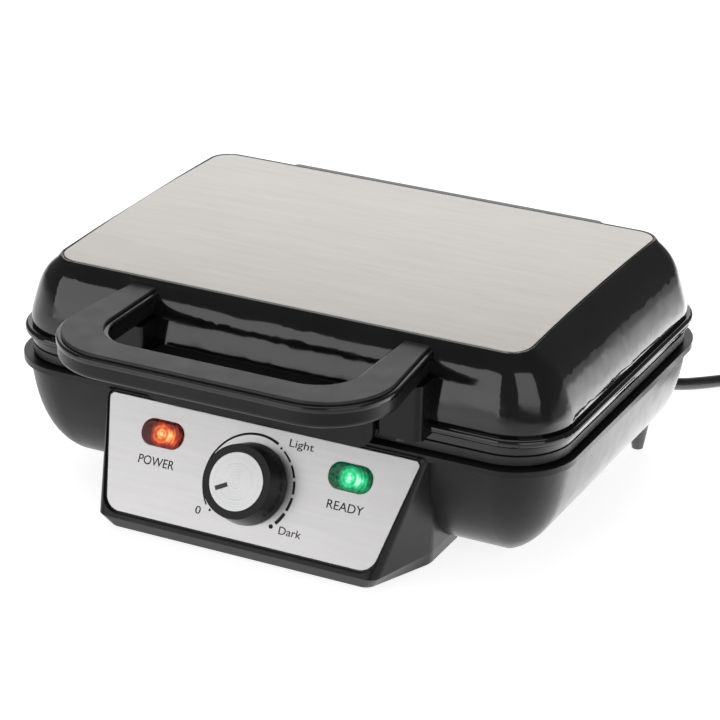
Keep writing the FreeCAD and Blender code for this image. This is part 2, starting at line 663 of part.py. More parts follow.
def control_panel():
    plate = slab("PanelPlate", panel_outline("0"), "-panel_thick", "0")
    node(cut("Panel", plate, panel_tools("Panel")), "control_panel", panel_frame=True)
    for side, label in ((-1, "power_window"), (1, "ready_window")):
        lens = slab("Window%d" % side, window_outline(side, "0"), "-window_deep", "window_proud")
        document.recompute()
        soft = rounded_edges(
            "WindowSoft%d" % side, lens, "window_edge", lambda edge: on_level(edge, number("window_proud")))
        node(soft, label, panel_frame=True)
    lamps = [
        rod("Lamp", "lamp_r", "lamp_long", (
            "(%d) * window_x" % side, "window_up", "-window_deep - lamp_long"))
        for side in (-1, 1)]
    node(group("PilotLamps", lamps), "pilot_lamps", panel_frame=True)


def on_level(edge, level):
    """True for an edge that lies flat at a height."""
    bounds = edge.BoundBox
    return abs(bounds.ZMin - level) < 1e-4 and abs(bounds.ZMax - level) < 1e-4


def thermostat():
    seat = "-panel_thick - wall"
    case = box("ThermostatCase", "thermostat_wide", "thermostat_wide", "thermostat_deep", (
        "-thermostat_wide / 2", "-knob_down - thermostat_wide / 2", "%s - thermostat_deep" % seat))
    bushing = rod("Bushing", "bushing_r", "nut_thick + panel_thick + wall", (0, "-knob_down", seat))
    bore = rod("ShaftBore", "shaft_r + shaft_clearance", "3 * thermostat_deep", (
        0, "-knob_down", "-2 * thermostat_deep"))
    node(cut("Thermostat", fuse("ThermostatSolid", [case, bushing]), bore), "thermostat", panel_frame=True)
    nut = rod("NutBlock", "nut_r", "nut_thick", (0, "-knob_down", 0))
    hole = rod("NutHole", "bushing_r", "2 * nut_thick", (0, "-knob_down", "-nut_thick / 2"))
    node(cut("ThermostatNut", nut, hole), "thermostat_nut", panel_frame=True)


def dial():
    foot, top = "knob_gap", "knob_gap + knob_height"
    centre = (0, "-knob_down", foot)
    skirt = cone("KnobSkirt", "knob_foot_r", "knob_top_r", "knob_height", centre)
    under = rod("KnobUnder", "nut_r + 2", "nut_thick + 1", (0, "-knob_down", "0"))
    bore = rod("KnobBore", "shaft_r", "knob_height", (0, "-knob_down", "-2"))
    seat = rod("CapSeat", "cap_r", "cap_thick", (0, "-knob_down", "%s - cap_sunk" % top))
    node(cut("DialKnob", skirt, fuse("KnobTools", [under, bore, seat])), "dial_knob", panel_frame=True)
    cap = rod("CapDisc", "cap_r", "cap_thick", (0, "-knob_down", "%s - cap_sunk" % top))
    node(group("KnobCap", [cap]), "knob_cap", panel_frame=True)
    bar = box("PointerBar", "pointer_long", "pointer_wide", "pointer_thick", (
        "pointer_end - pointer_long", "-pointer_wide / 2", "0"))
    turned = move(
        group("PointerTurned", [bar]), 0, "-knob_down", "%s - cap_sunk + cap_thick" % top, "pointer_turn")
    node(group("KnobPointer", [turned]), "knob_pointer", panel_frame=True)
    shaft = rod("Shaft", "shaft_r", "knob_height - 2 + thermostat_deep", (
        0, "-knob_down", "-thermostat_deep"))
    node(group("ThermostatShaft", [shaft]), "thermostat_shaft", panel_frame=True)


# ---------------------------------------------------------------- lid

DOME_R = "((lid_plate_front + lid_plate_back) ^ 2 / 4 + lid_dome ^ 2) / (2 * lid_dome)"
DOME_Y = "(lid_plate_back - lid_plate_front) / 2"
LID_HEIGHT = "(lid_edge_level - %s)" % SHELL_LEVEL


def lid_stack(name, shrink, top_share, first_level):
    """The lid shell's form, or its inside when taken in by shrink."""
    foot_x, foot_y = "(%s + shell_side)" % LIP_X, "(%s - shell_inset)" % LIP_Y
    top_x = "(lid_plate_x + lid_border)"
    top_front, top_back = "(lid_plate_front + lid_border)", "(lid_plate_back + lid_border)"
    top_r = "(lid_plate_corner + lid_border)"
    sections = []
    for height, lean in LID_PROFILE + ((top_share, top_share),):
        x = "%s + (%s - %s) * %s - %s" % (foot_x, top_x, foot_x, lean, shrink)
        front = "%s + (%s - %s) * %s - %s" % (foot_y, top_front, foot_y, lean, shrink)
        back = "%s + (%s - %s) * %s - %s" % (foot_y, top_back, foot_y, lean, shrink)
        corner = "%s + (%s - %s) * %s - %s" % (LIP_CORNER, top_r, LIP_CORNER, lean, shrink)
        level = "%s + (lid_edge_level - %s) * %s" % (first_level, first_level, height)
        sections.append((level, rounded(x, back, corner, front)))
    return stack(name, sections)


def dome(name, below):
    """A wide cylinder whose top is the lid's domed top, lowered by below."""
    radius = "%s - %s" % (DOME_R, below)
    length = "4 * flange_x"
    return rod(name, radius, length, (
        "-2 * flange_x", DOME_Y, "lid_edge_level + lid_dome - %s" % DOME_R), "x")


lid_form = common("LidForm", lid_stack("LidStack", "0", 1.08, SHELL_LEVEL), dome("LidDome", "0"))
skirt_block = slab("SkirtBlock", rounded(LIP_X, LIP_Y, LIP_CORNER), SKIRT_LEVEL, BEAD_LEVEL)
bead_block = slab(
    "BeadBlock", rounded(LIP_X + " + bead_side", LIP_Y + " + bead_proud", LIP_CORNER + " + bead_proud"),
    BEAD_LEVEL, SHELL_LEVEL)
bead = rounded_edges(
    "Bead", bead_block, "bead_round",
    lambda edge: on_level(edge, number(BEAD_LEVEL)) or on_level(edge, number(SHELL_LEVEL)))
rim_form = fuse("RimForm", [skirt_block, bead])
lid_outside = fuse("LidOutside", [lid_form, rim_form])


def lid_shell():
    space = lid_stack("LidSpace", "wall", 0.93, SHELL_LEVEL)
    deck = slab(
        "DeckLimit", rounded(LIP_X, LIP_Y, LIP_CORNER), SHELL_LEVEL + " - 1",
        "lid_edge_level - lid_plate_thick - wall")
    grow = "lid_plate_gap"
    seat_block = slab("SeatBlock", rounded(
        "lid_plate_x + " + grow, "lid_plate_back + " + grow, "lid_plate_corner + " + grow,
        "lid_plate_front + " + grow), "lid_edge_level - 4 * wall", "lid_edge_level + 4 * wall")
    seat = cut("PlateSeat", seat_block, dome("SeatDome", "lid_plate_thick"))
    node(cut("LidShell", lid_form, fuse("LidTools", [common("LidHollow", space, deck), seat])), "lid_shell")


def lid_plate():
    block = slab(
        "LidPlateBlock", rounded("lid_plate_x", "lid_plate_back", "lid_plate_corner", "lid_plate_front"),
        "lid_edge_level - 4 * wall", "lid_edge_level + 4 * wall")
    sheet_metal = cut("LidSheet", dome("LidPlateDome", "0"), dome("LidPlateUnder", "lid_plate_thick"))
    node(common("LidPlate", block, sheet_metal), "lid_plate")


def lid_rim():
    lower = slab(
        "RimLowerHole", rounded("plate_x + seam_gap", "plate_y + seam_gap", "plate_corner + seam_gap"),
        SKIRT_LEVEL + " - 1", "%s + %s" % (UPPER_RIM, PLATE_RIM))
    upper = slab(
        "RimUpperHole", rounded("plate_x - plate_step", "plate_y - plate_step", "plate_corner - plate_step"),
        SKIRT_LEVEL, SHELL_LEVEL + " + 1")
    node(cut("LidRim", rim_form, fuse("RimHoles", [lower, upper])), "lid_rim")


def rear_cover():
    profile = rounded("cover_x", "cover_back", "5", "0")
    block = slab("RearCoverBlock", profile, "cover_low_level", "cover_top_level")
    document.recompute()
    soft = rounded_edges(
        "RearCoverSoft", block, "cover_edge",
        lambda edge: on_level(edge, number("cover_top_level")) and edge.BoundBox.YMax > 0)
    node(cut("RearCover", soft, lid_form), "rear_cover")


def handle_arms(root_x, front_x, front, corner, shrink):
    """The handle's outline: two arms from the lid and the bar that joins them, as one block."""
    out = "%s - (%s)" % (front_x, shrink)
    root = "%s - (%s)" % (root_x, shrink)
    reach = "-(%s) + (%s)" % (front, shrink)
    radius = "%s - (%s)" % (corner, shrink)
    return [
        ("-(%s)" % out, reach, radius), (out, reach, radius),
        (root, "-handle_root", 0), ("-(%s)" % root, "-handle_root", 0)]


def handle_layer(name, low, high, shrink, soft_top, soft_low):
    """One layer of the handle, with the finger opening through it."""
    outline = handle_arms("handle_root_x", "handle_front_x", "handle_reach", "handle_corner", shrink)
    block = slab(name + "Block", outline, low, high)
    opening = slab(
        name + "Opening", handle_arms("grip_x", "grip_x", "grip_back", "grip_corner", "-(%s)" % shrink),
        "(%s) - 1" % low, "(%s) + 1" % high)
    layer = cut(name + "Arms", block, opening)
    if soft_top:
        layer = rounded_edges(
            name + "Top", layer, soft_top,
            lambda edge: on_level(edge, number(high)) and edge.BoundBox.YMin < number("-handle_root") - 1)
    if soft_low:
        layer = rounded_edges(
            name + "Low", layer, soft_low,
            lambda edge: on_level(edge, number(low)) and edge.BoundBox.YMin < number("-handle_root") - 1)
    return layer


def handle():
    cover = handle_layer("HandleCover", COVER_LEVEL, "handle_top_level", "cover_inset", "0.8", "")
    node(cut("HandleCoverFit", cover, lid_form), "handle_cover")
    trim = handle_layer("HandleTrim", TRIM_LEVEL, COVER_LEVEL, "0", "1.2", "")
    node(cut("HandleTrimFit", trim, lid_form), "handle_trim")
    grip = handle_layer("HandleGrip", HANDLE_LEVEL, TRIM_LEVEL, "handle_body_inset", "", "3")
    bores = [
        rod("GripBore", "screw_r", "screw_long", (x, "-screw_out", "bracket_level"))
        for x in ("screw_x", "-screw_x")]
    node(cut("HandleGripFit", grip, fuse("GripTools", [lid_form] + bores)), "handle_grip")


def handle_brackets():
    block = slab(
        "BracketBlock",
        [("bracket_in_x", "-bracket_front", "2"), ("bracket_x", "-bracket_front", "4"),
         ("bracket_x", "-handle_root", 0), ("bracket_in_x", "-handle_root", 0)],
        "bracket_level", HANDLE_LEVEL)
    bore = rod("BracketBore", "screw_r", "screw_long", ("screw_x", "-screw_out", "bracket_level - 1"))
    one = cut("BracketFit", block, fuse("BracketTools", [lid_outside, bore]))
    node(both_sides("HandleBrackets", one), "handle_brackets")
    shank = rod("HandleScrewShank", "screw_r", "screw_long", ("screw_x", "-screw_out", "bracket_level"))
    head = rod("HandleScrewHead", "screw_head_r - 0.4", "screw_head", (
        "screw_x", "-screw_out", "bracket_level - screw_head"))
    node(both_sides("HandleScrews", fuse("HandleScrew", [shank, head])), "handle_screws")


def handle_apron():
    face = slab(
        "ApronFace",
        [("-apron_x", "apron_level", "apron_corner"), ("apron_x", "apron_level", "apron_corner"),
         ("apron_x", "apron_top_level", "1"), ("-apron_x", "apron_top_level", "1")],
        "apron_front - apron_thick", "apron_front", plane="XZ_Plane")
    shelf = box("ApronShelf", "2 * apron_x - 4", "apron_front - handle_root - 1", "apron_thick", (
        "-apron_x + 2", "-apron_front + 1", "apron_top_level - apron_thick - 1"))
    node(cut("Apron", fuse("ApronSolid", [face, shelf]), lid_outside), "handle_apron")


# ---------------------------------------------------------------- cooking plates and heating

def stud(name, x, y, level, up):
    """One waffle stud: a square block that tapers away from the plate."""
    item = document.addObject("Part::Wedge", name)
    foot, top = "stud_foot / 2", "stud_top / 2"
    bind(item, Xmin="-" + foot, Xmax=foot, Zmin="-" + foot, Zmax=foot, Ymin="0", Ymax="stud_height",
         X2min="-" + top, X2max=top, Z2min="-" + top, Z2max=top)
    return move(item, x, y, level, 90 if up else -90, (1, 0, 0))


def waffle_plate(name, label, face, back, up):
    """A cast plate with two pockets full of studs, its pockets opening towards face."""
    sign = "1" if up else "-1"
    step = "%s - (%s) * %s" % (face, sign, PLATE_RIM)
    levels = (step, face) if up else (face, step)
    rim = slab(name + "Rim", rounded("plate_x", "plate_y", "plate_corner"), *levels)
    body_levels = (back, step) if up else (step, back)
    deep = slab(
        name + "Deep", rounded("plate_x - plate_step - fit_gap", "plate_y - plate_step - fit_gap",
                               "plate_corner - plate_step - fit_gap"), *body_levels)
    floor = "%s + (%s) * plate_floor" % (back, sign)
    pockets, studs = [], []
    for side in (-1, 1):
        centre = "(%d) * pocket_centre" % side
        left, right = "%s - pocket_x" % centre, "%s + pocket_x" % centre
        corners = [(left, "-pocket_y", "pocket_corner"), (right, "-pocket_y", "pocket_corner"),
                   (right, "pocket_y", "pocket_corner"), (left, "pocket_y", "pocket_corner")]
        open_end = "%s + (%s) * plate_floor" % (face, sign)
        ends = (floor, open_end) if up else (open_end, floor)
        pockets.append(slab("%sPocket%d" % (name, side), corners, *ends))
        for across in range(STUDS_ACROSS):
            for along in range(STUDS_ALONG):
                x = "%s + (%s) * stud_pitch_x" % (centre, across - (STUDS_ACROSS - 1) / 2)
                y = "(%s) * stud_pitch_y" % (along - (STUDS_ALONG - 1) / 2)
                studs.append(stud(name + "Stud", x, y, floor, up))
    tray = cut(name + "Tray", fuse(name + "Solid", [rim, deep]), fuse(name + "Pockets", pockets))
    node(fuse(name, [tray] + studs), label)


def heater(name, label, level):
    """A tubular element bent to a U under its plate."""
    runs = [rod(name + "Run", "heater_r", "heater_x + heater_lead", ("-heater_x", y, level), "x")
            for y in ("-heater_y", "heater_y")]
    bend = document.addObject("Part::Torus", name + "Bend")
    bind(bend, Radius1="heater_y", Radius2="heater_r")
    bend.Angle3 = 180
    move(bend, "-heater_x", 0, level, 90)
    node(fuse(name, runs + [bend]), label)


def reflector(name, label, open_level, up):
    """A sheet metal pan round a heating element, open towards its plate."""
    sign = 1 if up else -1
    floor = "%s - (%d) * pan_depth" % (open_level, sign)
    inner = "%s + (%d) * pan_thick" % (floor, sign)
    past = "%s + (%d) * 1" % (open_level, sign)
    block_levels = (floor, open_level) if up else (open_level, floor)
    space_levels = (inner, past) if up else (past, inner)
    block = slab(name + "Block", rounded("pan_x", "pan_y", "plate_corner"), *block_levels)
    space = slab(name + "Space", rounded(
        "pan_x - pan_thick", "pan_y - pan_thick", "plate_corner - pan_thick"), *space_levels)
    places = screw_places() if up else []
    bores = [rod(name + "Bore", "screw_r", "pan_depth * 8", (x, y, "0")) for x, y in places]
    node(cut(name, block, fuse(name + "Tools", [space] + bores) if bores else space), label)


def base_inside():
    """The terminal block, the thermal fuse and the screws that hold the lower reflector."""
    block = box("TerminalBlock", "terminal_long", "terminal_wide", "terminal_high", (
        "-terminal_x", "-terminal_y", "bowl_level + wall"))
    node(group("Terminals", [block]), "terminal_block")
    fuse_tube = rod("FuseTube", "fuse_r", "fuse_long", (
        "-fuse_long / 2", "0", "%s - pan_depth - fuse_r" % LOWER_BACK), "x")
    node(group("ThermalFuse", [fuse_tube]), "thermal_fuse")
    screws = []
    for x, y in screw_places():
        long = "%s - pan_depth + pan_thick - bowl_level" % LOWER_BACK
        shank = rod("BaseScrewShank", "screw_r", long, (x, y, "bowl_level"))
        head = rod("BaseScrewHead", "screw_head_r", "screw_head", (x, y, "bowl_level - screw_head"))
        screws.append(fuse("BaseScrew", [shank, head]))
    node(group("BaseScrews", screws), "base_screws")


# ---------------------------------------------------------------- hinge and feet

def hinge():
    half = "knuckle_long / 2"
    barrel = rod("KnuckleBarrel", "knuckle_r", "knuckle_long", (
        "hinge_x - " + half, "hinge_out", "hinge_level"), "x")
    arm_low = "%s + arm_gap" % LIP_TOP
    arm_high = "hinge_level + knuckle_r - (%s)" % arm_low
    arm = box("KnuckleArm", "knuckle_long", "hinge_out - handle_root", arm_high, (
        "hinge_x - " + half, "handle_root", arm_low))
    reach = "%s + ear_gap + ear_thick + 1" % half
    bore = rod("KnuckleBore", "pin_r + pin_clearance", "2 * (%s)" % reach, (
        "hinge_x - (%s)" % reach, "hinge_out", "hinge_level"), "x")
    solid = fuse("KnuckleSolid", [barrel, arm])
    knuckle = cut("Knuckle", solid, fuse("KnuckleTools", [bore, lid_outside]))
    node(both_sides("LidKnuckles", knuckle), "lid_knuckles")
    pin = rod("HingePin", "pin_r", "2 * (%s)" % reach, (
        "hinge_x - (%s)" % reach, "hinge_out", "hinge_level"), "x")
    node(both_sides("HingePins", pin), "hinge_pins")
    ears = []
    for side in (-1, 1):
        start = "hinge_x + (%d) * (%s + ear_gap + ear_thick / 2) - ear_thick / 2" % (side, half)
        ears.append(rod("Ear", "knuckle_r", "ear_thick", (start, "hinge_out", "hinge_level"), "x"))
        ears.append(box("EarPost", "ear_thick", "2 * knuckle_r", "hinge_level - (%s)" % EAR_FOOT, (
            start, "hinge_out - knuckle_r", EAR_FOOT)))
    width = "knuckle_long + 2 * ear_gap + 2 * ear_thick"
    web_start = "flange_y - flange_overhang - 1"
    web_height = "hinge_level - knuckle_r - hinge_web_gap - (%s)" % EAR_FOOT
    web = box("HingeWeb", width, "hinge_out + knuckle_r - (%s)" % web_start, web_height, (
        "hinge_x - (%s) / 2" % width, web_start, EAR_FOOT))
    ear_bore = rod("EarBore", "pin_r", "2 * (%s)" % reach, (
        "hinge_x - (%s)" % reach, "hinge_out", "hinge_level"), "x")
    bracket = cut("Bracket", fuse("BracketSolid", ears + [web]), fuse("HingeTools", [ear_bore, base_form]))
    node(both_sides("HingeBrackets", bracket), "hinge_brackets")


def feet():
    leg = cone("RearLeg", "foot_tip_r", "foot_root_r", "foot_root_level", ("rear_foot_x", "rear_foot_y", "0"))
    node(both_sides("RearFeet", cut("RearFoot", leg, base_form)), "rear_feet")
    pad = rod("FrontPad", "front_foot_r", "housing_level", ("front_foot_x", "-front_foot_y", "0"))
    node(both_sides("FrontFeet", pad), "front_feet")


# ---------------------------------------------------------------- cord

# The cord's route over the table, from the gland's tip to the coil, in the object's own frame.
CORD_POINTS = [
    (100, 146.05, 20),
    (102, 160, 17),
    (109, 174, 9.5),
    (120, 186, 4.6),
    (133, 199, 3.6),
    (146, 212, 3.6),
    (160, 224, 3.6),
    (176, 234.5, 3.6),
]
COIL_CENTRE = (203, 204, 0)

# The last stretch, from the plug's neck back into the coil.
TAIL_POINTS = [
    (243, 160, 8.83),
    (243, 169, 7.2),
    (242.8, 178, 7.6),
    (242.2, 187, 9.4),
    (241.6, 195, 10.5),
]


def cord_path(points):
    """Straight runs joined by tangent arcs, each as large as its runs allow."""
    edges = []
    last = points[0]
    for before, corner, after in zip(points, points[1:], points[2:]):
        run_in, run_out = corner - before, after - corner
        reach = 0.45 * min(run_in.Length, run_out.Length)
        turn = run_in.getAngle(run_out)
        radius = reach / math.tan(turn / 2)
        print("cord bend radius %.1f mm" % radius)
        start = corner - run_in.normalize() * reach
        end = corner + run_out.normalize() * reach
        chord = (start + end) / 2
        middle = corner + (chord - corner).normalize() * (math.hypot(radius, reach) - radius)
        edges.append(Part.LineSegment(last, start).toShape())
        edges.append(Part.Arc(start, middle, end).toShape())
        last = end
    edges.append(Part.LineSegment(last, points[-1]).toShape())
    return Part.Wire(edges)


def own_shape(name, shape, label):
    """A sub-part whose form is worked out here, already in the object's frame."""
    item = document.addObject("Part::Feature", name)
    item.Shape = shape
    item.Label = label
    item.Placement = FreeCAD.Placement()
    nodes.append(item)
    return item


def ring_solid(centre, in_r, out_r, low, high):
    """A flat ring standing on the table."""
    outer = Part.makeCylinder(out_r, high - low, Vector(centre[0], centre[1], low))
    return outer.cut(Part.makeCylinder(in_r, high - low, Vector(centre[0], centre[1], low)))


def cord_tube(points, radius):
    """A round tube along the route, checked against its section times its length."""
    path = cord_path([Vector(*point) for point in points])
    start = Vector(*points[1]) - Vector(*points[0])
    section = Part.Wire(Part.makeCircle(radius, Vector(*points[0]), start))
    tube = path.makePipeShell([section], True, True)
    wanted = math.pi * radius ** 2 * path.Length
    if abs(tube.Volume - wanted) > 0.01 * wanted:
        raise ValueError("the cord's volume is %.0f, not %.0f" % (tube.Volume, wanted))
    print("cord stretch length %.1f mm" % path.Length)
    return tube


def cord():
    cord_r = number("cord_r")
    coil = ring_solid(COIL_CENTRE, number("coil_in_r"), number("coil_out_r"), 0, number("coil_height"))
    own_shape("CordLead", cord_tube(CORD_POINTS, cord_r).cut(coil), "cord_lead")
    own_shape("CordTail", cord_tube(TAIL_POINTS, cord_r).cut(coil), "cord_tail")
    own_shape("CordCoil", coil, "cord_coil")
    tie_low, tie_wide = number("tie_thick"), number("tie_wide")
    middle_r = (number("coil_in_r") + number("coil_out_r")) / 2
    half = (number("coil_out_r") - number("coil_in_r")) / 2
    high = number("coil_height")
    outer = Part.makeBox(2 * half + 2 * tie_low, tie_wide, high + tie_low, Vector(
        COIL_CENTRE[0] + middle_r - half - tie_low, COIL_CENTRE[1] - tie_wide / 2, 0))
    own_shape("CordTie", outer.cut(coil), "cord_tie")
    plug()


def plug():
    """A round two-pin plug that lies on its tapered side with its pins towards the front."""
    tilt = math.atan((number("plug_r") - number("plug_neck_r")) / number("plug_long"))
    forward = Vector(0, -math.cos(tilt), math.sin(tilt))
    neck = Vector(*TAIL_POINTS[0])
    face = neck + forward * number("plug_long")
    body_shape = Part.makeCone(number("plug_neck_r"), number("plug_r"), number("plug_long"), neck, forward)
    own_shape("PlugBody", body_shape, "plug_body")
    pins = []
    for side in (-1, 1):
        foot = face + Vector(side * number("plug_pin_pitch") / 2, 0, 0)
        pins.append(Part.makeCylinder(number("plug_pin_r"), number("plug_pin_long"), foot, forward))
    own_shape("PlugPins", Part.Compound(pins), "plug_pins")


def cord_gland():
    cone_form = cone("GlandCone", "gland_root_r", "gland_tip_r", "gland_tip - gland_start", (
        "gland_x", "gland_start", "gland_level"), "y")
    node(cut("Gland", cone_form, base_form), "cord_gland")


def check_and_save():
    """Stops on any failed object or broken solid, then writes each sub-part's file."""
    document.recompute()
    for item in document.Objects:
        bad = [state for state in item.State if state in ("Invalid", "Error")]
        if bad:
            raise RuntimeError("%s is %s" % (item.Name, bad[0]))
    os.makedirs("parts", exist_ok=True)
    for item in nodes:
        shape = item.Shape
        if shape.isNull() or not shape.isValid() or not shape.Solids:
            raise RuntimeError("%s has no sound solid" % item.Label)
        shape.exportStep("parts/%s.step" % item.Label)
    print("%d sub-parts written" % len(nodes))


base_shell()
base_rim()
control_housing()
control_panel()
thermostat()
dial()
lid_shell()
lid_plate()
lid_rim()
rear_cover()
handle()
handle_brackets()
handle_apron()
waffle_plate("LowerPlate", "lower_plate", "plate_parting", LOWER_BACK, up=True)
waffle_plate("UpperPlate", "upper_plate", UPPER_RIM, UPPER_BACK, up=False)
heater("LowerHeater", "lower_heater", LOWER_BACK + " - heater_r")
heater("UpperHeater", "upper_heater", UPPER_BACK + " + heater_r")
reflector("LowerReflector", "lower_reflector", LOWER_BACK, up=True)
reflector("UpperReflector", "upper_reflector", UPPER_BACK, up=False)
base_inside()
hinge()
feet()
cord_gland()
cord()
check_and_save()
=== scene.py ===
"""The look of the waffle maker: camera, cord, materials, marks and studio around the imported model."""
import bpy
import bmesh
import json
import math
from mathutils import Matrix, Vector


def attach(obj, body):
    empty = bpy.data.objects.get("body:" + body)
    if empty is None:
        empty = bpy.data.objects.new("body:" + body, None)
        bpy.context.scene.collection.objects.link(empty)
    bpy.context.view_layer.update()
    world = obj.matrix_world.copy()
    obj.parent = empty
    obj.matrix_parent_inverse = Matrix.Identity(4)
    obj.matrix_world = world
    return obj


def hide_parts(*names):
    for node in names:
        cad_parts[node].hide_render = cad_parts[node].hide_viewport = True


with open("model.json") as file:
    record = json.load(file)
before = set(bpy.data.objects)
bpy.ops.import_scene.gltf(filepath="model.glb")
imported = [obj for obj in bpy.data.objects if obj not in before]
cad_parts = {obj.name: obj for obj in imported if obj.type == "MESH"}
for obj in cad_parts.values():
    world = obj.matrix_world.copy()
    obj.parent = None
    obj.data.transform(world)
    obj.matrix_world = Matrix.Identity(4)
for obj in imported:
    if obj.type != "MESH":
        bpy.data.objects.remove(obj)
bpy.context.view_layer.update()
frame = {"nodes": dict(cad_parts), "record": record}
NODES = frame["nodes"]
MM = 0.001


# --------------------------------------------------------------------------- camera

SENSOR = 36.0
FOCAL_LENGTH = 152.163
CAMERA_PLACE = Vector((0.646517, -1.274535, 0.707412))
CAMERA_RIGHT = Vector((0.89355, 0.44881, 0.01194))
CAMERA_UP = Vector((-0.19308, 0.36013, 0.91270))


def add_camera():
    """A long lens in front of the object's right side, looking a little down."""
    data = bpy.data.cameras.new("camera")
    data.sensor_width = SENSOR
    data.lens = FOCAL_LENGTH
    data.clip_start = 0.05
    data.clip_end = 50.0
    camera = bpy.data.objects.new("camera", data)
    turn = Matrix((CAMERA_RIGHT, CAMERA_UP, CAMERA_RIGHT.cross(CAMERA_UP))).transposed().to_4x4()
    camera.matrix_world = Matrix.Translation(CAMERA_PLACE) @ turn
    bpy.context.scene.collection.objects.link(camera)
    bpy.context.scene.camera = camera


add_camera()


# --------------------------------------------------------------------------- cord

CORD_D = 7           # millimetres, like the points below
# Points that the lead passes, from the gland to the coil and from the coil to the plug.
LEAD_POINTS = (
    (100, 146.05, 20), (102, 160, 17), (109, 174, 9.5), (120, 186, 4.6),
    (133, 199, 3.6), (146, 212, 3.6), (160, 224, 3.6), (176, 234.5, 3.6),
)
TAIL_POINTS = (
    (243.6, 206, 10.5), (243.2, 196, 10.5), (242.9, 187, 9.4), (242.8, 178, 7.6),
    (243, 169, 7.2), (243, 160, 8.83),
)
COIL_MIDDLE = (203, 204)
COIL_START = 131.5   # degrees, where the lead meets the coil
COIL_TURN = 1190     # degrees, wound clockwise seen from above
COIL_STEP = 25.3     # degrees between two points of the coil
OUTER_R, INNER_R = 42, 35
LOW_Z, HIGH_Z = 3.6, 10.5
# Each change in the coil: degrees turned where it starts, and how long it takes.
MOVE_IN = (270, 80)
CLIMB = (605, 75)
MOVE_OUT = (890, 70)


def ease(value):
    """0 below 0, 1 above 1, and a smooth rise between."""
    value = min(max(value, 0.0), 1.0)
    return value * value * (3 - 2 * value)


def done(turned, change):
    """How much of a change in the coil is done once so many degrees are turned."""
    start, length = change
    return ease((turned - start) / length)


def coil_points():
    """An outer and an inner turn on the table, then an inner and an outer one lying on them."""
    points = []
    turned = COIL_STEP
    while turned <= COIL_TURN:
        inward = done(turned, MOVE_IN) - done(turned, MOVE_OUT)
        upward = done(turned, CLIMB)
        radius = OUTER_R + (INNER_R - OUTER_R) * inward
        angle = math.radians(COIL_START - turned)
        points.append((
            COIL_MIDDLE[0] + radius * math.cos(angle),
            COIL_MIDDLE[1] + radius * math.sin(angle),
            LOW_Z + (HIGH_Z - LOW_Z) * upward,
        ))
        turned += COIL_STEP
    return points


def add_cord():
    """One smooth spline from the gland, through the coil, to the plug's neck.

    The bevel is 1 m deep and each point's radius scales it down to the lead's own, because a
    curve's bounds grow by its points' radii.
    """
    curve = bpy.data.curves.new("mains_cord", "CURVE")
    curve.dimensions = "3D"
    curve.resolution_u = 8
    curve.bevel_depth = 1.0
    curve.bevel_resolution = 6
    spline = curve.splines.new("NURBS")
    points = list(LEAD_POINTS) + coil_points() + list(TAIL_POINTS)
    spline.points.add(len(points) - 1)
    for target, point in zip(spline.points, points):
        target.co = (point[0] * MM, point[1] * MM, point[2] * MM, 1)
        target.radius = CORD_D / 2 * MM
    spline.order_u = 3
    spline.use_endpoint_u = True
    cord = bpy.data.objects.new("mains_cord", curve)
    bpy.context.scene.collection.objects.link(cord)
    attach(cord, "base")
    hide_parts("cord_lead", "cord_coil", "cord_tail")
    return cord


CORD = add_cord()


# --------------------------------------------------------------------------- node helpers

